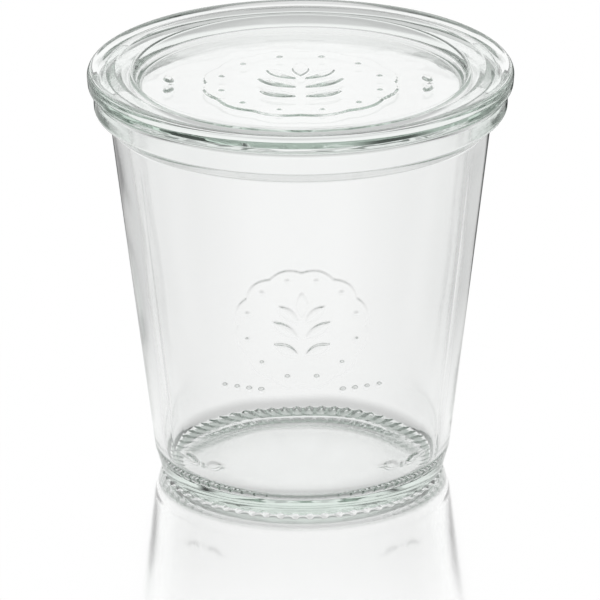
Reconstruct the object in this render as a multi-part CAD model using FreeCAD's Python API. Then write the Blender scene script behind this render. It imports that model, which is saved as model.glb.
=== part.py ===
"""A small preserving jar of clear pressed glass with a loose glass lid, as two solids in millimetres.

The axis of both pieces is Z, and the jar stands on Z = 0 with its front towards -Y. The jar is a tapering
tumbler with a thick base, a heel, a ring of short grooves across its foot, and a heavy rounded rim. The lid
is a dished disc: its thick rounded ring rests on the flat top of the rim, its middle is sunk so that the foot
of a second jar sits in it, and a shallow boss underneath drops into the mouth and keeps it centred. Both
carry a plain relief: a lobed medallion with a spray of leaves, and a few small leaves and dots round it.
"""

import FreeCAD
import Part
import math
import os

from FreeCAD import Vector

# Jar: overall sizes
jar_height = 86.2  # from the table to the flat top of the rim
mouth_radius = 37.5  # inside of the mouth
wall = 2.8  # side wall
body_taper = 8.7  # how much smaller the outer radius is at the heel than below the rim
base_thickness = 3.2  # from the table to the inside of the bottom

# Jar: rim
rim_width = 6.2  # from the mouth to the outside of the rim
rim_height = 7.3  # from the neck, where the rim starts to stand out, to its top
rim_slope = 2.9  # height of the sloping underside of the rim
rim_top_round = 0.9
rim_inner_round = 1.0
rim_side_round = 1.3  # between the sloping underside and the outer face
rim_neck_round = 1.6  # hollow where the sloping underside meets the body
rim_inner_taper = 0.3  # the inside of the rim opens by this much to the mouth

# Jar: foot
heel_height = 5.6  # where the side wall turns in to the foot
heel_inset = 1.6  # how far the foot lies inside the heel
heel_round = 4.0
foot_round = 0.8
bearing_width = 2.6  # flat ring that the jar stands on
pushup_depth = 0.8  # how far the middle of the underside is raised
pushup_slope = 8.0  # width of the slope between the bearing ring and the raised middle
pushup_round = 1.2
inner_corner_round = 3.6  # inside, between the wall and the bottom

# Jar: grooves across the foot
groove_count = 60
groove_radius = 0.9
groove_depth = 0.6

# Lid
lid_overhang = 1.45  # how far the lid stands out past the rim
lid_height = 3.9  # ring of the lid, above the rim
lid_foot_inset = 0.3  # how far the lid's side leans in at its lower edge
lid_foot_round = 1.0
lid_shoulder_round = 1.3
lid_shoulder_inset = 3.4  # from the outside of the lid to its highest ring
boss_clearance = 1.2  # all round, between the boss and the mouth
boss_depth = 2.7  # how far the boss drops into the mouth
boss_round = 1.0
boss_root_round = 0.6
disc_thickness = 2.8
dish_edge_inset = 2.0  # from the mouth in to the upper edge of the dish
dish_edge_drop = 0.7  # how far that edge lies below the highest ring
dish_edge_round = 1.0
dish_lean = 1.6  # how much smaller the dish is at its bottom
dish_corner_round = 0.9

# Relief
relief_height = 0.35  # of the medallion's face above the glass round it
leaf_height = 0.4  # of the leaves and dots above what they lie on
relief_root = 0.6  # how deep the relief reaches into the glass it belongs to
lobe_count = 12
lobe_bulge = 0.8  # how far each lobe stands out past the notch beside it
jar_medallion_radius = 14.0
jar_medallion_z = 44.8
lid_medallion_radius = 20.8
small_leaf_length = 4.2
small_leaf_width = 1.7
small_leaf_foot = 1.1  # from the dot in the middle of a pair to the foot of each leaf
small_leaf_lean = 75.0  # degrees from upright
small_leaf_z = 9.5  # the small leaves above the heel
small_leaf_angle = 41.0  # to each side of the front
dot_radius = 0.45
dot_row_z = 30.0  # the rows of dots under the medallion
dot_row_start = 8.5  # from the middle to the first dot of each row
dot_row_count = 4
dot_pitch = 2.5

# Spray of leaves inside a medallion: lengths in medallion radii, angles in degrees
top_leaf_foot = 0.2  # above the medallion's centre
top_leaf_length = 0.42
leaf_pairs = ((0.12, 0.40, 48), (-0.14, 0.46, 56), (-0.42, 0.40, 66))  # foot, length, lean from upright
leaf_width = 0.165
leaf_foot_offset = 0.05  # to each side of the middle
dot_ring = 0.83

# Worked out from the sizes above
rim_radius = mouth_radius + rim_width
body_top_radius = mouth_radius + wall
heel_radius = body_top_radius - body_taper
foot_radius = heel_radius - heel_inset
bearing_inner_radius = foot_radius - bearing_width
neck_z = jar_height - rim_height
lid_radius = rim_radius + lid_overhang
boss_radius = mouth_radius - boss_clearance
dish_edge_radius = mouth_radius - dish_edge_inset
dish_floor_radius = dish_edge_radius - dish_lean
dish_floor_z = jar_height - boss_depth + disc_thickness


def rounded_wire(corners):
    """A closed wire in the XZ plane through corners of (radius from the axis, height, rounding).

    Each corner with a rounding becomes an arc that is tangent to both of its sides. Where two roundings
    don't fit on the side between them, both are made smaller in proportion.
    """
    count = len(corners)
    points = [Vector(r, 0, z) for r, z, _ in corners]
    sides = [points[(i + 1) % count] - points[i] for i in range(count)]
    halves = [sides[i].getAngle(-sides[i - 1]) / 2 for i in range(count)]
    reaches = [rounding / math.tan(half) for (_, _, rounding), half in zip(corners, halves)]
    pairs = [reaches[i] + reaches[(i + 1) % count] for i in range(count)]
    room = [0.98 * side.Length / max(pair, 0.98 * side.Length) for side, pair in zip(sides, pairs)]
    starts, middles, ends = [], [], []
    for i, (_, _, rounding) in enumerate(corners):
        share = min(room[i - 1], room[i])
        to_last, to_next = (-sides[i - 1]).normalize(), Vector(sides[i]).normalize()
        starts.append(points[i] + to_last * reaches[i] * share)
        ends.append(points[i] + to_next * reaches[i] * share)
        inwards = (to_last + to_next).normalize() if rounding else to_next
        middles.append(points[i] + inwards * rounding * share * (1 / math.sin(halves[i]) - 1))
    edges = []
    for i, (_, _, rounding) in enumerate(corners):
        if rounding:
            edges.append(Part.Arc(starts[i], middles[i], ends[i]).toShape())
        edges.append(Part.LineSegment(ends[i], starts[(i + 1) % count]).toShape())
    return Part.Wire(edges)


def turned(corners):
    """The solid that the closed outline of corners makes when it is turned round the Z axis."""
    face = Part.Face(rounded_wire(corners))
    return face.revolve(Vector(0, 0, 0), Vector(0, 0, 1), 360)


def around(shape, angle):
    """A copy of the shape, turned about the Z axis by an angle in degrees."""
    copy = shape.copy()
    copy.rotate(Vector(0, 0, 0), Vector(0, 0, 1), angle)
    return copy


def body_radius(z):
    """Outer radius of the jar's tapering side at a height."""
    return heel_radius + body_taper * (z - heel_height) / (neck_z - heel_height)


# Flat outlines of the relief, in the XY plane with the motif's centre at the origin


def lobed_face(radius):
    """A round face whose edge is a ring of equal lobes."""
    edges = []
    for i in range(lobe_count):
        rays = [2 * math.pi * (i + step) / lobe_count for step in (0, 0.5, 1)]
        radii = [radius - lobe_bulge, radius, radius - lobe_bulge]
        points = [Vector(r * math.cos(ray), r * math.sin(ray), 0) for r, ray in zip(radii, rays)]
        edges.append(Part.Arc(*points).toShape())
    return Part.Face(Part.Wire(edges))


def leaf_face(length, width, x, y, lean):
    """A pointed leaf between two arcs: its foot is at x, y and it leans to the right of upright."""
    foot, tip = Vector(0, 0, 0), Vector(0, length, 0)
    left, right = Vector(-width / 2, length / 2, 0), Vector(width / 2, length / 2, 0)
    face = Part.Face(Part.Wire([Part.Arc(foot, right, tip).toShape(), Part.Arc(tip, left, foot).toShape()]))
    face.rotate(Vector(0, 0, 0), Vector(0, 0, 1), -lean)
    face.translate(Vector(x, y, 0))
    return face


def dot_face(x, y):
    """A small round face."""
    return Part.Face(Part.Wire(Part.Circle(Vector(x, y, 0), Vector(0, 0, 1), dot_radius).toShape()))


def spray_faces(radius):
    """A top leaf with pairs of leaves below it, inside a ring of dots, all in proportion to the radius."""
    width = leaf_width * radius
    faces = [leaf_face(top_leaf_length * radius, width, 0, top_leaf_foot * radius, 0)]
    for foot, length, lean in leaf_pairs:
        for side in (1, -1):
            offset = side * leaf_foot_offset * radius
            faces.append(leaf_face(length * radius, width, offset, foot * radius, side * lean))
    for i in range(lobe_count):
        ray = 2 * math.pi * (i + 0.5) / lobe_count
        faces.append(dot_face(dot_ring * radius * math.cos(ray), dot_ring * radius * math.sin(ray)))
    return faces


def leaf_pair_faces():
    """Two small leaves that point away from each other, with a dot between their feet."""
    faces = [dot_face(0, 0)]
    for side in (1, -1):
        foot, lean = side * small_leaf_foot, side * small_leaf_lean
        faces.append(leaf_face(small_leaf_length, small_leaf_width, foot, 0, lean))
    return faces


# Solids of the relief


def on_body(faces, z, height, angle=0):
    """Faces raised on the jar's tapering side, at a height and an angle from the front."""
    reach = 2 * jar_medallion_radius
    low, high = z - reach, z + reach
    outline = [
        (body_radius(low) - relief_root, low, 0),
        (body_radius(low) + height, low, 0),
        (body_radius(high) + height, high, 0),
        (body_radius(high) - relief_root, high, 0),
    ]
    skin = turned(outline)
    solids = []
    for face in faces:
        upright = face.copy()
        upright.rotate(Vector(0, 0, 0), Vector(1, 0, 0), 90)
        upright.translate(Vector(0, 0, z))
        prism = upright.extrude(Vector(0, -rim_radius, 0))
        solids += [around(solid, angle) for solid in prism.common(skin).Solids]
    return solids


def on_floor(faces, z, height):
    """Faces raised on a flat floor at a height."""
    solids = []
    for face in faces:
        low = face.copy()
        low.translate(Vector(0, 0, z - relief_root))
        solids.append(low.extrude(Vector(0, 0, relief_root + height)))
    return solids


def jar_relief():
    """Medallion and spray on the front, rows of dots under it, small leaves above the heel."""
    solids = on_body([lobed_face(jar_medallion_radius)], jar_medallion_z, relief_height)
    solids += on_body(spray_faces(jar_medallion_radius), jar_medallion_z, relief_height + leaf_height)
    offsets = [dot_row_start + i * dot_pitch for i in range(dot_row_count)]
    solids += on_body([dot_face(side * x, 0) for x in offsets for side in (1, -1)], dot_row_z, leaf_height)
    for side in (1, -1):
        solids += on_body(leaf_pair_faces(), small_leaf_z, leaf_height, side * small_leaf_angle)
    return solids


def lid_relief():
    """Medallion and spray in the dish, with a pair of small leaves to each side."""
    solids = on_floor([lobed_face(lid_medallion_radius)], dish_floor_z, relief_height)
    solids += on_floor(spray_faces(lid_medallion_radius), dish_floor_z, relief_height + leaf_height)
    middle = (lid_medallion_radius + dish_floor_radius) / 2
    for side in (1, -1):
        pair = leaf_pair_faces()
        for face in pair:
            face.rotate(Vector(0, 0, 0), Vector(0, 0, 1), 90)
            face.translate(Vector(side * middle, 0, 0))
        solids += on_floor(pair, dish_floor_z, leaf_height)
    return solids


def foot_grooves():
    """Round bars, laid outwards across the foot, that cut its ring of grooves."""
    inner = bearing_inner_radius - pushup_slope
    length = heel_radius + wall - inner
    centre = Vector(inner, 0, groove_depth - groove_radius)
    bar = Part.makeCylinder(groove_radius, length, centre, Vector(1, 0, 0))
    return [around(bar, 360 * (i + 0.5) / groove_count) for i in range(groove_count)]


def inside_corners():
    """Corners of the jar's inside, from the rim down to the middle of the bottom."""
    return [
        (mouth_radius - rim_inner_taper, neck_z, 0),
        (heel_radius - wall, base_thickness, inner_corner_round),
        (0, base_thickness, 0),
    ]


def make_jar():
    """The jar: its outline runs from under the base up the outside to the rim, then down the inside."""
    corners = [
        (0, pushup_depth, 0),
        (bearing_inner_radius - pushup_slope, pushup_depth, pushup_round),
        (bearing_inner_radius, 0, pushup_round),
        (foot_radius, 0, foot_round),
        (heel_radius, heel_height, heel_round),
        (body_top_radius, neck_z, rim_neck_round),
        (rim_radius, neck_z + rim_slope, rim_side_round),
        (rim_radius, jar_height, rim_top_round),
        (mouth_radius, jar_height, rim_inner_round),
    ]
    return turned(corners + inside_corners()).cut(foot_grooves()).fuse(jar_relief())


def make_lid():
    """The lid: its outline runs under the boss and the seat, up the side, over the ring and into the dish."""
    seat = jar_height
    top = seat + lid_height
    corners = [
        (0, seat - boss_depth, 0),
        (boss_radius - boss_root_round, seat - boss_depth, boss_round),
        (boss_radius, seat, boss_root_round),
        (lid_radius - lid_foot_inset, seat, lid_foot_round),
        (lid_radius, top, lid_shoulder_round),
        (lid_radius - lid_shoulder_inset, top, 0),
        (dish_edge_radius, top - dish_edge_drop, dish_edge_round),
        (dish_floor_radius, dish_floor_z, dish_corner_round),
        (0, dish_floor_z, 0),
    ]
    return turned(corners).fuse(lid_relief())


def brimful_volume():
    """Volume of the space inside the jar, up to the top of its rim."""
    return turned(inside_corners() + [(0, jar_height, 0), (mouth_radius, jar_height, 0)]).Volume


os.makedirs("parts", exist_ok=True)
for name, shape in {"jar": make_jar(), "lid": make_lid()}.items():
    shape.exportStep(f"parts/{name}.step")
    box = shape.optimalBoundingBox(True, False)
    size = f"{box.XLength:.2f} x {box.YLength:.2f} x {box.ZLength:.2f} mm from Z {box.ZMin:.3f}"
    print(f"{name}: {len(shape.Solids)} solid, valid {shape.isValid()}, {shape.Volume / 1000:.2f} cm3, {size}")
print(f"brimful capacity {brimful_volume() / 1000:.1f} ml")
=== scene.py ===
"""Glass jar with a loose glass lid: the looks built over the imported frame, laid out as an add-on."""

import math

import bpy
import numpy as np
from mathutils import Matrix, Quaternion, Vector


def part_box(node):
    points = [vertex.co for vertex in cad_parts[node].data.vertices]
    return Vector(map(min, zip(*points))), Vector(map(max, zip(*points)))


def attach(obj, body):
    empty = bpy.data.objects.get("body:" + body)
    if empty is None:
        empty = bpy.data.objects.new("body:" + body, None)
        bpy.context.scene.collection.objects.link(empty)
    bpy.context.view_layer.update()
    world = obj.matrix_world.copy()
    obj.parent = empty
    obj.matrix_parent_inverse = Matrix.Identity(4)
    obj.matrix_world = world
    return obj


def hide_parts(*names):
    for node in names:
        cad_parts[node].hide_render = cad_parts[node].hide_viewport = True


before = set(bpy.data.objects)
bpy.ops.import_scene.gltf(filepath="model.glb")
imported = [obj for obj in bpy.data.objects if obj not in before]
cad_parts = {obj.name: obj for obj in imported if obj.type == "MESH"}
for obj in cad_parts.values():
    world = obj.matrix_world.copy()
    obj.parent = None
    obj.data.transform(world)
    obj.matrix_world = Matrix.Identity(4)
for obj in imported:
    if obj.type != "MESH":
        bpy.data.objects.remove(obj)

bl_info = {
    "name": "Glass jar with loose lid",
    "version": (1, 0, 0),
    "blender": (4, 5, 0),
    "location": "View3D > Sidebar > Glass jar",
    "description": "Builds a tapered glass jar, its dished glass lid and a pale studio round them",
    "category": "Add Mesh",
}

MM = 0.001
JAR_LOW, JAR_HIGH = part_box("jar")
LID_LOW, LID_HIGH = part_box("lid")
RIM_RADIUS = (JAR_HIGH.x - JAR_LOW.x) / 2
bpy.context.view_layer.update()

# Leaves of a medallion: where a leaf's foot lies and its length, as shares of the medallion's radius, and
# its lean from upright in degrees. The top leaf has its foot across and up. The tiers have it up only,
# and have a leaf to each side of the stem.
TOP_LEAF = (0.0, 0.2, 0.42, 0)
LEAF_TIERS = ((0.12, 0.40, 48), (-0.14, 0.46, 56), (-0.42, 0.40, 66))
STEM_GAP = 0.05  # from the stem to a leaf's foot
LEAF_WIDTH = 0.165
DOT_RING = 0.83  # radius of the ring of dots
LEAF_EDGE, LEAF_CROWN = 0.55, 0.9  # height of a leaf at its edge, and how steeply it rises inwards
SMALL_LEAF_LEAN = math.radians(75)

# A dot's profile: its height as a share of a leaf's, and the width of its flat top and of its slope
DOT_HEIGHT, DOT_TOP, DOT_SLOPE = 0.75, 1.2, 1.4

# How finely the surfaces are divided: steps along an outline, turns round the axis in degrees, how far
# the finer turns reach to each side of the medallion, a leaf pair and a seam, and how far the finer rows
# reach past the medallion and its dots, a leaf pair, the grooves and the floor of the dish
ARC_POINTS = 12
CLOSEST_POINTS = 0.03 * MM
MEDALLION_STEP, LEAF_STEP, PLAIN_STEP = 0.24 * MM, 0.3 * MM, 1.7 * MM
MEDALLION_TURN, LEAF_TURN, SEAM_TURN, PLAIN_TURN = 0.38, 0.65, 0.55, 4.0
MEDALLION_REACH, LEAF_REACH, SEAM_REACH = math.radians(29), math.radians(9), math.radians(2)
DISH_STEP, LID_STEP = 0.28 * MM, 1.0 * MM
MEDALLION_MARGIN, LEAF_HALF, GROOVE_MARGIN, DISH_MARGIN = 1 * MM, 2 * MM, 1.1 * MM, 0.1 * MM
LID_ANGLES, INSIDE_ANGLES, ANGLES_PER_GROOVE = 360, 180, 8

# Mould seams: the length of their swells and how deep these go, and how softly and how far below the neck
# the seams end
SEAM_SWELL, SWELL_DEPTH, SEAM_END, SEAM_BELOW_NECK = 55 * MM, 0.4, 4 * MM, 3 * MM
RIPPLE_END = 12 * MM  # how softly the ripple of the inside fades towards base and mouth

# The room seen in reflections: sine of the elevation at which overhead starts and is reached
OVERHEAD_START, OVERHEAD_FULL = 0.42, 0.65

# Half the side of the floor, and how far it lies under the foot, so that glass and floor never coincide
FLOOR_HALF, FLOOR_GAP = 3.0, 0.02 * MM

# How often light may turn on its way, because it crosses and is mirrored by many glass faces
MOST_TURNS, MOST_GLASS_TURNS = 32, 24


def length(name, default, description):
    """A length property, in metres, with its default given in millimetres."""
    return bpy.props.FloatProperty(
        name=name, description=description, default=default * MM, min=0, precision=5,
        unit="LENGTH", subtype="DISTANCE",
    )


def angle_of(name, default, description):
    """An angle property, with its default given in degrees."""
    return bpy.props.FloatProperty(
        name=name, description=description, default=math.radians(default), subtype="ANGLE"
    )


def share_of(name, default, description):
    """A property between 0 and 1, such as a brightness."""
    return bpy.props.FloatProperty(
        name=name, description=description, default=default, min=0, max=1, subtype="FACTOR"
    )


def number_of(name, default, description):
    """A whole number of like things."""
    return bpy.props.IntProperty(name=name, description=description, default=default, min=3)


def per_metre(name, default, description):
    """A number counted along a metre of length."""
    return bpy.props.FloatProperty(name=name, description=description, default=default, min=0)


class JarSizes(bpy.types.PropertyGroup):
    """Sizes of the jar."""

    wall: length("Wall", 2.8, "Thickness of the side wall")
    rim_width: length("Rim width", 6.2, "From the mouth to the outside of the rim")
    rim_height: length("Rim height", 7.3, "From the neck, where the rim starts to stand out, to its top")
    rim_slope: length("Rim slope", 2.9, "Height of the sloping underside of the rim")
    rim_side_round: length("Rim side rounding", 1.3, "Rounding between underside and outer face")
    rim_top_round: length("Rim top rounding", 0.9, "Rounding of the rim's outer top edge")
    rim_inner_round: length("Mouth rounding", 1.0, "Rounding of the mouth")
    rim_inner_taper: length("Mouth taper", 0.3, "How much the inside of the rim opens to the mouth")
    neck_round: length("Neck rounding", 1.6, "Hollow under the rim")
    body_taper: length("Body taper", 8.7, "How much smaller the radius is at the heel than below the rim")
    base: length("Base", 3.2, "From the table to the inside of the bottom")
    heel_height: length("Heel height", 5.6, "Where the side turns in to the foot")
    heel_inset: length("Heel inset", 1.6, "How far the foot lies inside the heel")
    heel_round: length("Heel rounding", 4.0, "Rounding of the heel")
    foot_round: length("Foot rounding", 0.8, "Rounding of the foot's outer edge")
    bearing_width: length("Bearing ring", 2.6, "Width of the ring the jar stands on")
    pushup_depth: length("Push-up", 0.8, "How far the middle of the underside is raised")
    pushup_slope: length("Push-up slope", 8.0, "Width of the slope inside the bearing ring")
    pushup_round: length("Push-up rounding", 1.2, "Rounding at the foot of that slope")
    pushup_crown: length("Push-up crown", 60, "Rounding at the head of that slope")
    seam_height: length("Seam height", 0.07, "Height of the three upright mould seams")
    seam_width: length("Seam width", 0.5, "Half the width of a mould seam")
    seam_angle: angle_of("Seam angle", 62, "Of the first mould seam, from the front")
    inner_round: length("Inner corner rounding", 3.6, "Rounding between wall and bottom, inside")
    groove_radius: length("Groove radius", 0.9, "Radius of the grooves across the foot")
    groove_depth: length("Groove depth", 0.6, "Depth of the grooves across the foot")
    groove_count: number_of("Grooves", 60, "Grooves across the foot")
    ripple: length("Ripple", 0.18, "How far the inside of the wall wavers")
    medallion_radius: length("Medallion radius", 14.0, "Radius of the lobed medallion on the front")
    medallion_z: length("Medallion height", 44.8, "Height of the medallion's centre")
    small_leaf_z: length("Small leaf height", 9.5, "Height of the small leaves")
    small_leaf_angle: angle_of("Small leaf angle", 41, "To each side of the front")
    dot_row_z: length("Dot row height", 30.0, "Height of the rows of dots")
    dot_row_start: length("Dot row start", 8.5, "From the middle to the first dot of a row")
    dot_pitch: length("Dot pitch", 2.5, "Distance between dots in a row")
    dot_count: number_of("Dots in a row", 4, "Dots in the row to each side")
    waves: per_metre("Waves", 70, "Waves of the surface, per metre")
    wave_depth: length("Wave depth", 0.05, "Depth of those waves")


class LidSizes(bpy.types.PropertyGroup):
    """Sizes of the lid."""

    foot_inset: length("Foot inset", 0.3, "How far the side leans in at its lower edge")
    foot_round: length("Foot rounding", 1.0, "Rounding of the lower outer edge")
    shoulder_round: length("Shoulder rounding", 1.3, "Rounding of the upper outer edge")
    ring_groove: length("Ring groove", 0.5, "Depth of the outer hollow round the top of the ring")
    crown_inset: length("Outer crown inset", 2.2, "From the upper corner to the end of the outer crown")
    crown_round: length("Outer crown rounding", 0.8, "Rounding between outer crown and outer hollow")
    groove_inset: length("Outer hollow inset", 3.9, "From the upper corner to the outer hollow")
    inner_crown_inset: length("Inner crown inset", 6.0, "From the upper corner to the inner crown")
    inner_crown_drop: length("Inner crown drop", 0.1, "How far the inner crown lies below the outer one")
    groove_round: length("Hollow rounding", 1.2, "Rounding of the outer hollow and the inner crown")
    inner_groove_inset: length("Inner hollow inset", 7.7, "From the upper corner to the inner hollow")
    inner_groove_share: share_of("Inner hollow share", 0.8, "Depth of the inner hollow to the outer's")
    inner_groove_round: length("Inner hollow rounding", 1.0, "Rounding of the inner hollow")
    overhang: length("Overhang", 1.45, "How far the lid's upper corner stands out past the rim")
    boss_clearance: length("Boss clearance", 1.2, "Between the boss and the mouth")
    boss_round: length("Boss rounding", 1.0, "Rounding of the boss")
    boss_root_round: length("Boss root rounding", 0.6, "Hollow between boss and seat")
    disc: length("Disc", 2.8, "Thickness of the disc")
    dish_edge_inset: length("Dish edge inset", 2.0, "From the mouth in to the upper edge of the dish")
    dish_edge_drop: length("Dish edge drop", 0.7, "How far that edge lies below the highest ring")
    dish_edge_round: length("Dish edge rounding", 1.0, "Rounding of the upper edge of the dish")
    dish_lean: length("Dish lean", 1.6, "How much smaller the dish is at its bottom")
    dish_corner_round: length("Dish corner rounding", 0.9, "Rounding at the bottom of the dish")
    medallion_radius: length("Medallion radius", 20.8, "Radius of the medallion in the dish")
    relief_share: share_of("Relief share", 0.7, "Height of the lid's relief as a share of the jar's")
    air_gap: length("Air gap", 0.06, "Film of air between the lid's seat and the rim")
    waves: per_metre("Waves", 110, "Waves of the surface, per metre")
    wave_depth: length("Wave depth", 0.1, "Depth of those waves")


class ReliefSizes(bpy.types.PropertyGroup):
    """Sizes of the relief on both pieces."""

    height: length("Medallion relief", 0.35, "Height of the medallion's face")
    leaf_height: length("Leaf relief", 0.4, "Height of leaves and dots above what they lie on")
    edge: length("Edge softness", 0.26, "Width of the soft edge of the relief")
    lobes: number_of("Lobes", 12, "Lobes round a medallion")
    lobe_bulge: length("Lobe bulge", 0.8, "How far a lobe stands out past the notch beside it")
    dot_radius: length("Dot radius", 0.45, "Radius of the small dots")
    small_leaf: length("Small leaf", 4.2, "Length of a small leaf")
    small_leaf_width: length("Small leaf width", 1.7, "Width of a small leaf")
    small_leaf_foot: length("Small leaf foot", 1.1, "From the dot to the foot of a small leaf")


class StageSettings(bpy.types.PropertyGroup):
    """Camera, glass and light."""

    pitch: angle_of("Pitch", 20.99, "How far the camera looks down")
    roll: angle_of("Roll", 0.27, "How far the camera is turned about its line of sight")
    distance: length("Distance", 1700, "From the camera to the point it looks at")
    aim_x: bpy.props.FloatProperty(
        name="Aim across", description="Where the camera aims, across", default=-0.35 * MM, unit="LENGTH"
    )
    aim_z: length("Aim height", 37.42, "Height the camera aims at")
    lens: bpy.props.FloatProperty(name="Lens", description="Focal length in millimetres", default=478.7)
    glass_ior: bpy.props.FloatProperty(
        name="Glass index", description="Refractive index of the glass", default=1.52
    )
    glass_tint: bpy.props.FloatVectorProperty(
        name="Glass tint", description="Colour that thick glass takes", default=(0.80, 0.88, 0.83),
        subtype="COLOR",
    )
    glass_density: per_metre("Glass density", 20, "Strength of the tint in the jar, per metre")
    lid_density: per_metre("Lid density", 28, "Strength of the tint in the lid, per metre")
    surround: share_of("Floor in front", 0.56, "Brightness of the floor in front, in reflections")
    front_wall: share_of("Front wall", 0.34, "Brightness above the floor in front, in reflections")
    overhead: share_of("Overhead", 0.62, "Brightness of the room overhead, in reflections")
    room_side: share_of("Room at the sides", 0.26, "Brightness to the sides, in reflections")
    room_back: share_of("Floor behind", 0.68, "Brightness of the floor behind, in reflections")
    room_far: share_of("Room behind", 1.0, "Brightness above the floor behind, in reflections")
    room_strip: share_of("Strips", 0.06, "Brightness of two strips of floor behind, in reflections")
    mirror_start: length("Mirror start", 50, "From the axis to where the mirror image starts to fade")
    mirror_end: length("Mirror end", 115, "From the axis to where the mirror image ends")
    mirror_share: share_of("Mirror share", 0.8, "How much the floor mirrors at the foot")
    mirror_roughness: share_of("Mirror roughness", 0.09, "How soft the mirror image in the floor is")


# Surfaces


def rounded_outline(corners, step):
    """Points (radius, height) along an open outline whose corners are arcs, at most a step apart.

    At a corner P with unit vectors a and b to its neighbours and half the angle between them h, an arc of
    radius R starts at P + a R / tan h, ends at P + b R / tan h and has its centre at
    P + (a + b) / |a + b| R / sin h. The step is a function of radius and height.
    """
    corners = np.array(corners)
    point, rounding = corners[:, :2], corners[1:-1, 2]
    to_last = point[:-2] - point[1:-1]
    to_next = point[2:] - point[1:-1]
    to_last /= np.linalg.norm(to_last, axis=1, keepdims=True)
    to_next /= np.linalg.norm(to_next, axis=1, keepdims=True)
    half = np.arccos(np.clip((to_last * to_next).sum(1), -1, 1)) / 2
    reach = (rounding / np.tan(half))[:, None]
    start, end = point[1:-1] + to_last * reach, point[1:-1] + to_next * reach
    inwards = to_last + to_next
    inwards /= np.maximum(np.linalg.norm(inwards, axis=1, keepdims=True), 1e-12)
    centre = point[1:-1] + inwards * (rounding / np.sin(half))[:, None]
    first = np.arctan2(start[:, 1] - centre[:, 1], start[:, 0] - centre[:, 0])
    last = np.arctan2(end[:, 1] - centre[:, 1], end[:, 0] - centre[:, 0])
    sweep = (last - first + np.pi) % (2 * np.pi) - np.pi
    turn = first[:, None] + sweep[:, None] * np.linspace(0, 1, ARC_POINTS)
    arcs = centre[:, None] + rounding[:, None, None] * np.stack([np.cos(turn), np.sin(turn)], -1)
    path = np.concatenate([point[:1], arcs.reshape(-1, 2), point[-1:]])
    along = np.concatenate([[0], np.cumsum(np.linalg.norm(np.diff(path, axis=0), axis=1))])
    fine = np.linspace(0, along[-1], 20000)
    steps = step(np.interp(fine, along, path[:, 0]), np.interp(fine, along, path[:, 1]))
    spread = np.concatenate([[0], np.cumsum(np.diff(fine) / steps[1:])])
    even = np.interp(np.arange(0, spread[-1]), spread, fine)
    places = np.unique(np.concatenate([along, even]))
    keep = np.concatenate([[True], np.diff(places) > CLOSEST_POINTS])
    places = places[keep]
    places[-1] = along[-1]
    return np.stack([np.interp(places, along, path[:, 0]), np.interp(places, along, path[:, 1])], 1)


def spread_angles(step):
    """Angles round the axis whose spacing follows step, a function of angle, both in radians."""
    fine = np.linspace(-np.pi, np.pi, 20001)
    amount = np.concatenate([[0], np.cumsum(np.diff(fine) / step(fine[1:]))])
    number = int(round(amount[-1]))
    return np.interp(np.arange(number) * amount[-1] / number, amount, fine)


def even_angles(number):
    """Evenly spaced angles round the axis, from the back."""
    return -np.pi + 2 * np.pi * np.arange(number) / number


def turned_grid(outline, angles):
    """A grid of points: each outline point (radius, height) carried round the axis.

    Angle 0 is the front: x = radius sin angle, y = -radius cos angle, z = height.
    """
    radius = outline[:, :1]
    height = np.broadcast_to(outline[:, 1:], (len(outline), len(angles)))
    return np.stack([radius * np.sin(angles), -radius * np.cos(angles), height], -1)


def ring_quads(rows, columns, first):
    """Quads between neighbouring rings of a grid whose first point has the index first."""
    corner = first + np.arange((rows - 1) * columns).reshape(rows - 1, columns)
    beside = np.roll(corner, -1, 1)
    return np.stack([corner, beside, beside + columns, corner + columns], -1).reshape(-1, 4)


def joining_triangles(lower, upper, first_lower, first_upper):
    """Triangles between two rings with different numbers of points.

    Walking round both rings by angle, every edge of one ring makes a triangle with the last point passed
    on the other ring.
    """
    count_low, count_up = len(lower), len(upper)
    i, j = np.arange(count_low), np.arange(count_up)
    low_end = np.append(lower[1:], lower[0] + 2 * np.pi)
    up_end = np.append(upper[1:], upper[0] + 2 * np.pi)
    passed_up = (np.searchsorted(upper, low_end, side="right") - 1) % count_up
    passed_low = (np.searchsorted(lower, up_end, side="left") - 1) % count_low
    passed_up[-1], passed_low[-1] = 0, count_low - 1
    low = np.stack([first_lower + i, first_lower + (i + 1) % count_low, first_upper + passed_up], 1)
    up = np.stack([first_lower + passed_low, first_upper + (j + 1) % count_up, first_upper + j], 1)
    return np.concatenate([low, up])


def smooth(x):
    """A soft step from 0 at x = 0 to 1 at x = 1."""
    x = np.clip(x, 0, 1)
    return x * x * (3 - 2 * x)


# Relief: each shape gives how far a point lies inside its edge, in metres


def lobed_inside(across, up, radius, lobes, bulge):
    """Inside distance of a round face whose radius swells between notches as |sin(lobes angle / 2)|."""
    edge = radius - bulge + bulge * np.abs(np.sin(lobes * np.arctan2(up, across) / 2))
    return edge - np.hypot(across, up)


def leaf_inside(across, up, foot_across, foot_up, size, width, lean):
    """Inside distance of a leaf that leans from upright: half its width is a parabola along it."""
    along = (across - foot_across) * np.sin(lean) + (up - foot_up) * np.cos(lean)
    aside = (across - foot_across) * np.cos(lean) - (up - foot_up) * np.sin(lean)
    return width / 2 * (1 - (2 * along / size - 1) ** 2) - np.abs(aside)


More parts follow.
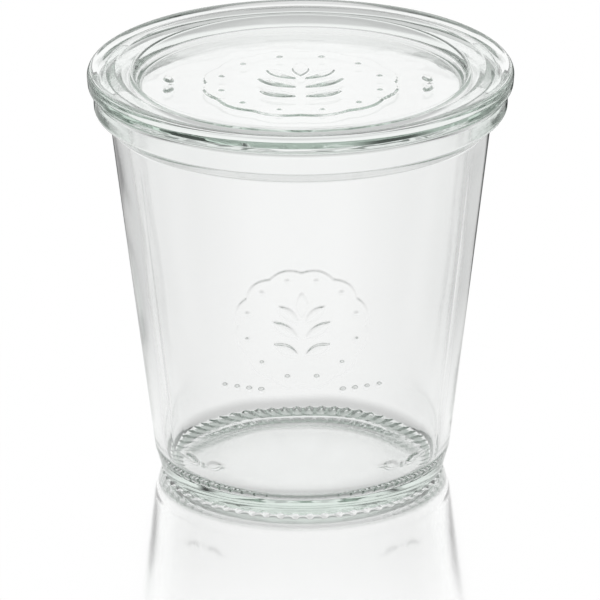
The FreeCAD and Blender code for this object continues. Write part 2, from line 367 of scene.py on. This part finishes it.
def spray_height(across, up, radius, relief):
    """Height of a medallion: a lobed face, and on it a crowned spray of leaves inside a ring of dots."""
    width, edge = LEAF_WIDTH * radius, relief.edge
    face = smooth(lobed_inside(across, up, radius, relief.lobes, relief.lobe_bulge) / edge + 0.5)
    leaves = [TOP_LEAF]
    for foot, size, lean in LEAF_TIERS:
        leaves += [(STEM_GAP, foot, size, lean), (-STEM_GAP, foot, size, -lean)]
    top = np.zeros_like(across)
    for side, foot, size, lean in leaves:
        inside = leaf_inside(
            across, up, side * radius, foot * radius, size * radius, width, math.radians(lean)
        )
        crown = LEAF_EDGE + LEAF_CROWN * np.clip(inside, 0, width / 2) / width
        top = np.maximum(top, smooth(inside / edge + 0.5) * crown)
    top = np.maximum(top, dot_height(across, up, ring_places(DOT_RING * radius, relief.lobes), relief))
    return relief.height * face + relief.leaf_height * top


def ring_places(radius, number):
    """Evenly spaced places on a circle, half a step round from its right."""
    angles = 2 * np.pi * (np.arange(number) + 0.5) / number
    return np.stack([radius * np.cos(angles), radius * np.sin(angles)], 1)


def dot_height(across, up, places, relief):
    """Rounded dots at places: a soft step down with the distance from the nearest place."""
    apart = np.hypot(across[..., None] - places[:, 0], up[..., None] - places[:, 1]).min(-1)
    return DOT_HEIGHT * smooth(DOT_TOP - apart / (relief.dot_radius * DOT_SLOPE))


def leaf_pair_height(across, up, relief):
    """Two small leaves that point away from each other, with a dot between their feet."""
    height = dot_height(across, up, np.zeros((1, 2)), relief)
    for side in (1, -1):
        inside = leaf_inside(
            across, up, side * relief.small_leaf_foot, 0, relief.small_leaf, relief.small_leaf_width,
            side * SMALL_LEAF_LEAN,
        )
        height = np.maximum(height, smooth(inside / relief.edge + 0.5))
    return relief.leaf_height * height


# Meshes


def closed_mesh(name, bands):
    """A closed mesh from bands of rings, in order from one pole to the other.

    A band is a grid of points and the angles of its columns. Neighbouring rings of a band are joined by
    quads, and bands and poles by triangles.
    """
    start, end = bands[0][0][0, 0] * (0, 0, 1), bands[-1][0][-1, 0] * (0, 0, 1)
    points = [start[None]] + [grid.reshape(-1, 3) for grid, _ in bands] + [end[None]]
    firsts = np.cumsum([1] + [grid.shape[0] * grid.shape[1] for grid, _ in bands])
    quads, triangles = [], []
    for (grid, _), first in zip(bands, firsts):
        quads.append(ring_quads(grid.shape[0], grid.shape[1], first))
    for (low, low_angles), (_, high_angles), next_first in zip(bands[:-1], bands[1:], firsts[1:]):
        last_ring = next_first - low.shape[1]
        triangles.append(joining_triangles(low_angles, high_angles, last_ring, next_first))
    near = firsts[0] + np.arange(bands[0][0].shape[1])
    far = firsts[-1] - bands[-1][0].shape[1] + np.arange(bands[-1][0].shape[1])
    triangles.append(np.stack([np.zeros_like(near), np.roll(near, -1), near], 1))
    triangles.append(np.stack([far, np.roll(far, -1), np.full_like(far, firsts[-1])], 1))
    points, quads, triangles = np.concatenate(points), np.concatenate(quads), np.concatenate(triangles)
    mesh = bpy.data.meshes.new(name)
    mesh.vertices.add(len(points))
    mesh.vertices.foreach_set("co", points.ravel())
    mesh.loops.add(quads.size + triangles.size)
    mesh.loops.foreach_set("vertex_index", np.concatenate([quads.ravel(), triangles.ravel()]))
    mesh.polygons.add(len(quads) + len(triangles))
    starts = np.concatenate([4 * np.arange(len(quads)), quads.size + 3 * np.arange(len(triangles))])
    mesh.polygons.foreach_set("loop_start", starts)
    mesh.update(calc_edges=True)
    mesh.validate()
    mesh.shade_smooth()
    return mesh


def add_piece(name, mesh, material, node):
    """Puts a mesh in the scene as a piece that rides with the body and stands for a node of the frame."""
    piece = bpy.data.objects.new(name, mesh)
    bpy.context.scene.collection.objects.link(piece)
    mesh.materials.append(material)
    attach(piece, "root")
    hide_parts(node)


def jar_radii(jar):
    """Radii of the mouth, of the body below the rim, of the heel and of the foot."""
    mouth = RIM_RADIUS - jar.rim_width
    body_top = mouth + jar.wall
    heel = body_top - jar.body_taper
    return mouth, body_top, heel, heel - jar.heel_inset


def jar_outline(jar, step):
    """Outline of the jar from under the middle of its base, up outside, over the rim and down inside."""
    mouth, body_top, heel, foot = jar_radii(jar)
    bearing = foot - jar.bearing_width
    neck = JAR_HIGH.z - jar.rim_height
    return rounded_outline([
        (0, jar.pushup_depth, 0),
        (bearing - jar.pushup_slope, jar.pushup_depth, jar.pushup_crown),
        (bearing, 0, jar.pushup_round),
        (foot, 0, jar.foot_round),
        (heel, jar.heel_height, jar.heel_round),
        (body_top, neck, jar.neck_round),
        (RIM_RADIUS, neck + jar.rim_slope, jar.rim_side_round),
        (RIM_RADIUS, JAR_HIGH.z, jar.rim_top_round),
        (mouth, JAR_HIGH.z, jar.rim_inner_round),
        (mouth - jar.rim_inner_taper, neck, jar.rim_inner_round),
        (heel - jar.wall, jar.base, jar.inner_round),
        (0, jar.base, 0),
    ], step)


def jar_relief(radius, angle, z, jar, relief):
    """Height of the relief on the jar's front half, at points given by radius, angle and height."""
    across = radius * np.sin(angle)
    height = spray_height(across, z - jar.medallion_z, jar.medallion_radius, relief)
    offsets = jar.dot_row_start + jar.dot_pitch * np.arange(jar.dot_count)
    row = np.stack([np.concatenate([offsets, -offsets]), np.zeros(2 * jar.dot_count)], 1)
    height += relief.leaf_height * dot_height(across, z - jar.dot_row_z, row, relief)
    for side in (1, -1):
        aside = radius * np.sin(angle - side * jar.small_leaf_angle)
        height += leaf_pair_height(aside, z - jar.small_leaf_z, relief)
    return np.where(np.abs(angle) < np.pi / 2, height, 0)


def from_seam(angle, jar):
    """Angle from the nearest of three mould seams, which lie a third of a turn apart."""
    third = 2 * np.pi / 3
    return (angle - jar.seam_angle + third / 2) % third - third / 2


def seam_relief(radius, angle, z, jar):
    """Height of the mould seams: a bell across, times slow swells along, times soft ends."""
    bell = np.exp(-(from_seam(angle, jar) * radius / jar.seam_width) ** 2)
    swells = 1 - SWELL_DEPTH + SWELL_DEPTH * np.sin(2 * np.pi * z / SEAM_SWELL + 2 * angle)
    low_end = smooth((z - jar.heel_height) / SEAM_END)
    high_end = smooth((JAR_HIGH.z - jar.rim_height - SEAM_BELOW_NECK - z) / SEAM_END)
    return jar.seam_height * bell * swells * (low_end * high_end)


def jar_ripple(angle, z):
    """Slow wavering of the inside, between -1 and 1: three waves round that wind with height."""
    rise = z / JAR_HIGH.z
    return (
        0.45 * np.sin(2 * angle + 0.7 + 2.0 * rise)
        + 0.35 * np.sin(5 * angle + 1.9 - 4.0 * rise)
        + 0.2 * np.sin(9 * angle + 0.4 + 7.0 * rise) * np.sin(3 * np.pi * rise)
    )


def grooved_grid(outline, angles, jar):
    """The foot's rings, raised wherever a round groove crosses them.

    At a distance d from the middle line of a groove with radius R and depth D, the groove's roof is at
    D - R + the root of (R squared - d squared).
    """
    pitch = 2 * np.pi / jar.groove_count
    grid = turned_grid(outline, angles)
    aside = outline[:, :1] * ((angles / pitch) % 1 - 0.5) * pitch
    arch = np.sqrt(np.maximum(jar.groove_radius**2 - aside**2, 0))
    raised = np.maximum(grid[..., 2], jar.groove_depth - jar.groove_radius + arch)
    grid[..., 2] = np.where(np.abs(aside) < jar.groove_radius, raised, grid[..., 2])
    return grid


def swollen_grid(outline, angles, swell):
    """The outline carried round the axis and moved outwards by swell, a function of radius, angle, z."""
    radius, z = outline[:, :1] + 0 * angles, outline[:, 1:] + 0 * angles
    grid = turned_grid(outline, angles)
    grid[..., :2] *= (1 + swell(radius, angles, z) / radius)[..., None]
    return grid


def jar_bands(jar, relief):
    """The jar's rings: under the base, across the grooved foot, up the outside, and down the inside."""
    _, body_top, _, foot = jar_radii(jar)
    neck = JAR_HIGH.z - jar.rim_height
    lean = jar.body_taper / neck

    def step(radius, z):
        outside = radius > body_top - (neck - z) * lean - jar.wall / 2
        bottom = jar.dot_row_z - MEDALLION_MARGIN
        top = jar.medallion_z + jar.medallion_radius + MEDALLION_MARGIN
        medallion = outside & (z > bottom) & (z < top)
        leaves = outside & (np.abs(z - jar.small_leaf_z) < LEAF_HALF)
        return np.where(medallion, MEDALLION_STEP, np.where(leaves, LEAF_STEP, PLAIN_STEP))

    def angle_step(angle):
        medallion = np.abs(angle) < MEDALLION_REACH
        leaves = np.abs(np.abs(angle) - jar.small_leaf_angle) < LEAF_REACH
        seam = np.abs(from_seam(angle, jar)) < SEAM_REACH
        rest = np.where(leaves, LEAF_TURN, np.where(seam, SEAM_TURN, PLAIN_TURN))
        return np.radians(np.where(medallion, MEDALLION_TURN, rest))

    def outer(radius, angle, z):
        return jar_relief(radius, angle, z, jar, relief) + seam_relief(radius, angle, z, jar)

    def inner(radius, angle, z):
        fade = smooth((z - jar.base) / RIPPLE_END) * smooth((JAR_HIGH.z - z) / RIPPLE_END)
        return jar.ripple * fade * jar_ripple(angle, z)

    outline = jar_outline(jar, step)
    first = np.argmax(outline[:, 0] > foot - jar.bearing_width - GROOVE_MARGIN)
    last = first + np.argmax(outline[first:, 1] > 2 * jar.groove_depth)
    lip = np.argmax(outline[:, 1])
    groove_angles = even_angles(ANGLES_PER_GROOVE * jar.groove_count)
    outer_angles = spread_angles(angle_step)
    inner_angles = even_angles(INSIDE_ANGLES)
    return [
        (turned_grid(outline[1:first], inner_angles), inner_angles),
        (grooved_grid(outline[first:last], groove_angles, jar), groove_angles),
        (swollen_grid(outline[last:lip], outer_angles, outer), outer_angles),
        (swollen_grid(outline[lip:-1], inner_angles, inner), inner_angles),
    ]


def lid_bands(jar, lid, relief):
    """The lid's rings, from under the middle of its boss, round its edge to the middle of the dish."""
    seat, top = JAR_HIGH.z + lid.air_gap, LID_HIGH.z
    mouth = RIM_RADIUS - jar.rim_width
    boss = mouth - lid.boss_clearance
    edge = mouth - lid.dish_edge_inset
    corner_radius = RIM_RADIUS + lid.overhang
    floor_radius, floor = edge - lid.dish_lean, LID_LOW.z + lid.disc
    inner_groove = lid.inner_groove_share * lid.ring_groove

    def step(radius, z):
        return np.where((z > floor - DISH_MARGIN) & (radius < floor_radius), DISH_STEP, LID_STEP)

    outline = rounded_outline([
        (0, LID_LOW.z, 0),
        (boss - lid.boss_root_round, LID_LOW.z, lid.boss_round),
        (boss, seat, lid.boss_root_round),
        (corner_radius - lid.foot_inset, seat, lid.foot_round),
        (corner_radius, top, lid.shoulder_round),
        (corner_radius - lid.crown_inset, top, lid.crown_round),
        (corner_radius - lid.groove_inset, top - lid.ring_groove, lid.groove_round),
        (corner_radius - lid.inner_crown_inset, top - lid.inner_crown_drop, lid.groove_round),
        (corner_radius - lid.inner_groove_inset, top - inner_groove, lid.inner_groove_round),
        (edge, top - lid.dish_edge_drop, lid.dish_edge_round),
        (floor_radius, floor, lid.dish_corner_round),
        (0, floor, 0),
    ], step)
    rows, angles = outline[1:-1], even_angles(LID_ANGLES)
    grid = turned_grid(rows, angles)
    x, y = grid[..., 0], grid[..., 1]
    height = spray_height(x, y, lid.medallion_radius, relief)
    middle = (lid.medallion_radius + floor_radius) / 2
    for side in (1, -1):
        height += leaf_pair_height(y, side * middle - x, relief)
    above = np.arange(len(rows)) > np.argmax(rows[:, 1])
    in_dish = above & (rows[:, 0] < floor_radius - lid.dish_corner_round)
    grid[..., 2] += np.where(in_dish[:, None], lid.relief_share * height, 0)
    return [(grid, angles)]


# Materials


def add_node(tree, kind, **values):
    """A shader node with the given input defaults."""
    node = tree.nodes.new(kind)
    for key, value in values.items():
        node.inputs[key.replace("_", " ")].default_value = value
    return node


def fire_polish_group():
    """Group: slow unevenness of polished glass as a height, and faint handling marks as a roughness."""
    if "Fire polish" in bpy.data.node_groups:
        return bpy.data.node_groups["Fire polish"]
    group = bpy.data.node_groups.new("Fire polish", "ShaderNodeTree")
    for socket, value in (("Waves", 90), ("Marks", 0.01)):
        added = group.interface.new_socket(socket, in_out="INPUT", socket_type="NodeSocketFloat")
        added.default_value = value
    for socket in ("Height", "Roughness"):
        group.interface.new_socket(socket, in_out="OUTPUT", socket_type="NodeSocketFloat")
    given, result = group.nodes.new("NodeGroupInput"), group.nodes.new("NodeGroupOutput")
    place = group.nodes.new("ShaderNodeTexCoord")
    waves = add_node(group, "ShaderNodeTexNoise", Detail=1.0, Roughness=0.35)
    marks = add_node(group, "ShaderNodeTexNoise", Scale=220.0, Detail=3.0, Roughness=0.6)
    spots = add_node(group, "ShaderNodeMapRange", From_Min=0.55, From_Max=0.8)
    link = group.links.new
    link(place.outputs["Object"], waves.inputs["Vector"])
    link(place.outputs["Object"], marks.inputs["Vector"])
    link(given.outputs["Waves"], waves.inputs["Scale"])
    link(marks.outputs["Fac"], spots.inputs["Value"])
    link(given.outputs["Marks"], spots.inputs["To Max"])
    link(waves.outputs["Fac"], result.inputs["Height"])
    link(spots.outputs["Result"], result.inputs["Roughness"])
    return group


def clear_glass(name, ior, tint, density, sizes):
    """Clear glass with a faint tint in its depth, and the unevenness of the group above, in its waves."""
    material = bpy.data.materials.new(name)
    material.use_nodes = True
    tree = material.node_tree
    shader = tree.nodes["Principled BSDF"]
    shader.inputs["Base Color"].default_value = (1, 1, 1, 1)
    shader.inputs["Transmission Weight"].default_value = 1
    shader.inputs["IOR"].default_value = ior
    polish = tree.nodes.new("ShaderNodeGroup")
    polish.node_tree = fire_polish_group()
    polish.inputs["Waves"].default_value = sizes.waves
    bump = add_node(tree, "ShaderNodeBump", Strength=1.0, Distance=sizes.wave_depth)
    tree.links.new(polish.outputs["Height"], bump.inputs["Height"])
    tree.links.new(bump.outputs["Normal"], shader.inputs["Normal"])
    tree.links.new(polish.outputs["Roughness"], shader.inputs["Roughness"])
    depth = add_node(tree, "ShaderNodeVolumeAbsorption", Density=density)
    depth.inputs["Color"].default_value = (*tint, 1)
    tree.links.new(depth.outputs["Volume"], tree.nodes["Material Output"].inputs["Volume"])
    return material


def math_node(tree, operation, *values):
    """A math node whose inputs are numbers or sockets."""
    node = tree.nodes.new("ShaderNodeMath")
    node.operation = operation
    for socket, value in zip(node.inputs, values):
        if isinstance(value, bpy.types.NodeSocket):
            tree.links.new(value, socket)
        else:
            socket.default_value = value
    return node.outputs[0]


def reflected_inside(tree):
    """1 for light that was reflected on its way, such as inside the glass, and 0 for the rest."""
    path = tree.nodes.new("ShaderNodeLightPath")
    return math_node(tree, "GREATER_THAN", path.outputs["Glossy Depth"], 0.5)


def room_tone(tree, place, stops):
    """Brightness of the room for reflected light, by compass direction.

    The stops are pairs of degrees and brightness. 0 degrees is straight behind and right is positive.
    """
    split = tree.nodes.new("ShaderNodeSeparateXYZ")
    tree.links.new(place, split.inputs["Vector"])
    compass = math_node(tree, "ARCTAN2", split.outputs["X"], split.outputs["Y"])
    ramp = tree.nodes.new("ShaderNodeValToRGB")
    elements = ramp.color_ramp.elements
    while len(elements) < len(stops):
        elements.new(1)
    for element, (degrees, tone) in zip(elements, stops):
        element.position = degrees / 360 + 0.5
        element.color = (tone, tone, tone, 1)
    fraction = math_node(tree, "MULTIPLY_ADD", compass, 0.5 / math.pi, 0.5)
    tree.links.new(fraction, ramp.inputs["Fac"])
    return ramp.outputs["Color"]


def dimmed(tree, tone):
    """White for light that comes straight, and the tone given for light that was reflected on its way."""
    lost = math_node(tree, "SUBTRACT", 1, tone)
    dim = math_node(tree, "MULTIPLY", reflected_inside(tree), lost)
    return math_node(tree, "SUBTRACT", 1, dim)


def floor_material(stage):
    """Glowing white floor that mirrors what stands on it, less and less away from the foot.

    For reflected light it is dim in front and to the sides, and has two dark strips behind, which draw
    the thin dark lines along the sides of the glass.
    """
    material = bpy.data.materials.new("studio_floor")
    material.use_nodes = True
    tree = material.node_tree
    tree.nodes.remove(tree.nodes["Principled BSDF"])
    place = tree.nodes.new("ShaderNodeTexCoord")
    reach = tree.nodes.new("ShaderNodeVectorMath")
    reach.operation = "LENGTH"
    tree.links.new(place.outputs["Object"], reach.inputs[0])
    fade = add_node(
        tree, "ShaderNodeMapRange", From_Min=stage.mirror_start, From_Max=stage.mirror_end,
        To_Min=stage.mirror_share, To_Max=0.0,
    )
    tree.links.new(reach.outputs["Value"], fade.inputs["Value"])
    white = add_node(tree, "ShaderNodeEmission")
    front, side, back, strip = stage.surround, stage.room_side, stage.room_back, stage.room_strip
    stops = (
        (-150, front), (-118, side), (-90, side), (-68, back),
        (-27, back), (-20, strip), (-13, strip), (-8, back),
        (10, back), (16, strip), (26, strip), (33, back),
        (68, back), (90, side), (118, side), (150, front),
    )
    tone = room_tone(tree, place.outputs["Object"], stops)
    tree.links.new(dimmed(tree, tone), white.inputs["Strength"])
    mirror = add_node(tree, "ShaderNodeBsdfGlossy", Roughness=stage.mirror_roughness)
    mirror.inputs["Color"].default_value = (1, 1, 1, 1)
    mix = tree.nodes.new("ShaderNodeMixShader")
    tree.links.new(fade.outputs["Result"], mix.inputs["Fac"])
    tree.links.new(white.outputs["Emission"], mix.inputs[1])
    tree.links.new(mirror.outputs["BSDF"], mix.inputs[2])
    tree.links.new(mix.outputs["Shader"], tree.nodes["Material Output"].inputs["Surface"])
    return material


def studio_world(stage):
    """White all round. For reflected light it is dim overhead, to the sides and in front."""
    world = bpy.data.worlds.new("studio")
    world.use_nodes = True
    tree = world.node_tree
    place = tree.nodes.new("ShaderNodeTexCoord")
    split = tree.nodes.new("ShaderNodeSeparateXYZ")
    tree.links.new(place.outputs["Generated"], split.inputs["Vector"])
    overhead = add_node(tree, "ShaderNodeMapRange", From_Min=OVERHEAD_START, From_Max=OVERHEAD_FULL)
    tree.links.new(split.outputs["Z"], overhead.inputs["Value"])
    front, side, far = stage.front_wall, stage.room_side, stage.room_far
    stops = (
        (-140, front), (-110, side), (-80, side), (-55, far),
        (55, far), (80, side), (110, side), (140, front),
    )
    round_about = room_tone(tree, place.outputs["Generated"], stops)
    covered = math_node(tree, "MULTIPLY", overhead.outputs["Result"], 1 - stage.overhead)
    above = math_node(tree, "SUBTRACT", 1, covered)
    tone = math_node(tree, "MINIMUM", round_about, above)
    tree.links.new(dimmed(tree, tone), tree.nodes["Background"].inputs["Strength"])
    tree.nodes["Background"].inputs["Color"].default_value = (1, 1, 1, 1)
    return world


# Operators


class GLASSJAR_OT_jar(bpy.types.Operator):
    """Make the jar: a tapering tumbler with a heavy rim, a grooved foot and a leaf medallion"""

    bl_idname = "glass_jar.make_jar"
    bl_label = "Make jar"

    def execute(self, context):
        scene, stage = context.scene, context.scene.stage_settings
        mesh = closed_mesh("jar_glass", jar_bands(scene.jar_sizes, scene.relief_sizes))
        glass = clear_glass(
            "jar_glass", stage.glass_ior, stage.glass_tint, stage.glass_density, scene.jar_sizes
        )
        add_piece("jar_glass", mesh, glass, "jar")
        return {"FINISHED"}


class GLASSJAR_OT_lid(bpy.types.Operator):
    """Make the loose lid: a rounded ring with shallow hollows round a sunken disc with a medallion"""

    bl_idname = "glass_jar.make_lid"
    bl_label = "Make lid"

    def execute(self, context):
        scene, stage = context.scene, context.scene.stage_settings
        mesh = closed_mesh("lid_glass", lid_bands(scene.jar_sizes, scene.lid_sizes, scene.relief_sizes))
        glass = clear_glass(
            "lid_glass", stage.glass_ior, stage.glass_tint, stage.lid_density, scene.lid_sizes
        )
        add_piece("lid_glass", mesh, glass, "lid")
        return {"FINISHED"}


class GLASSJAR_OT_stage(bpy.types.Operator):
    """Set up the pale floor, the light and the camera"""

    bl_idname = "glass_jar.make_stage"
    bl_label = "Make stage"

    def execute(self, context):
        scene, stage = context.scene, context.scene.stage_settings
        mesh = bpy.data.meshes.new("floor")
        corners = [(x * FLOOR_HALF, y * FLOOR_HALF, 0) for x, y in ((-1, -1), (1, -1), (1, 1), (-1, 1))]
        mesh.from_pydata(corners, [], [(0, 1, 2, 3)])
        mesh.materials.append(floor_material(stage))
        floor = bpy.data.objects.new("floor", mesh)
        floor.location.z = JAR_LOW.z - FLOOR_GAP
        scene.collection.objects.link(floor)
        scene.world = studio_world(stage)
        scene.view_settings.view_transform = "Standard"
        scene.cycles.max_bounces = MOST_TURNS
        scene.cycles.glossy_bounces = MOST_GLASS_TURNS
        scene.cycles.transmission_bounces = MOST_GLASS_TURNS
        camera = bpy.data.objects.new("camera", bpy.data.cameras.new("camera"))
        scene.collection.objects.link(camera)
        camera.data.sensor_width = 36
        camera.data.lens = stage.lens
        camera.data.clip_end = 20
        back = Vector((0, -math.cos(stage.pitch), math.sin(stage.pitch)))
        camera.location = Vector((stage.aim_x, 0, stage.aim_z)) + back * stage.distance
        camera.rotation_mode = "QUATERNION"
        camera.rotation_quaternion = (-back).to_track_quat("-Z", "Y") @ Quaternion((0, 0, 1), -stage.roll)
        scene.camera = camera
        return {"FINISHED"}


class GLASSJAR_PT_panel(bpy.types.Panel):
    """Sizes of the jar and lid, and the buttons that build them"""

    bl_label = "Glass jar"
    bl_idname = "GLASSJAR_PT_panel"
    bl_space_type = "VIEW_3D"
    bl_region_type = "UI"
    bl_category = "Glass jar"

    def draw(self, context):
        scene, layout = context.scene, self.layout
        groups = (scene.jar_sizes, scene.lid_sizes, scene.relief_sizes, scene.stage_settings)
        for title, group in zip(("Jar", "Lid", "Relief", "Stage"), groups):
            box = layout.box()
            box.label(text=title)
            for key in group.bl_rna.properties.keys():
                if key not in {"rna_type", "name"}:
                    box.prop(group, key)
        for operator in OPERATORS:
            layout.operator(operator.bl_idname)


OPERATORS = (GLASSJAR_OT_stage, GLASSJAR_OT_jar, GLASSJAR_OT_lid)
CLASSES = (JarSizes, LidSizes, ReliefSizes, StageSettings, *OPERATORS, GLASSJAR_PT_panel)


def register():
    for cls in CLASSES:
        bpy.utils.register_class(cls)
    bpy.types.Scene.jar_sizes = bpy.props.PointerProperty(type=JarSizes)
    bpy.types.Scene.lid_sizes = bpy.props.PointerProperty(type=LidSizes)
    bpy.types.Scene.relief_sizes = bpy.props.PointerProperty(type=ReliefSizes)
    bpy.types.Scene.stage_settings = bpy.props.PointerProperty(type=StageSettings)


def unregister():
    for name in ("jar_sizes", "lid_sizes", "relief_sizes", "stage_settings"):
        delattr(bpy.types.Scene, name)
    for cls in reversed(CLASSES):
        bpy.utils.unregister_class(cls)


def main():
    register()
    bpy.ops.glass_jar.make_stage()
    bpy.ops.glass_jar.make_jar()
    bpy.ops.glass_jar.make_lid()


if __name__ == "__main__":
    main()
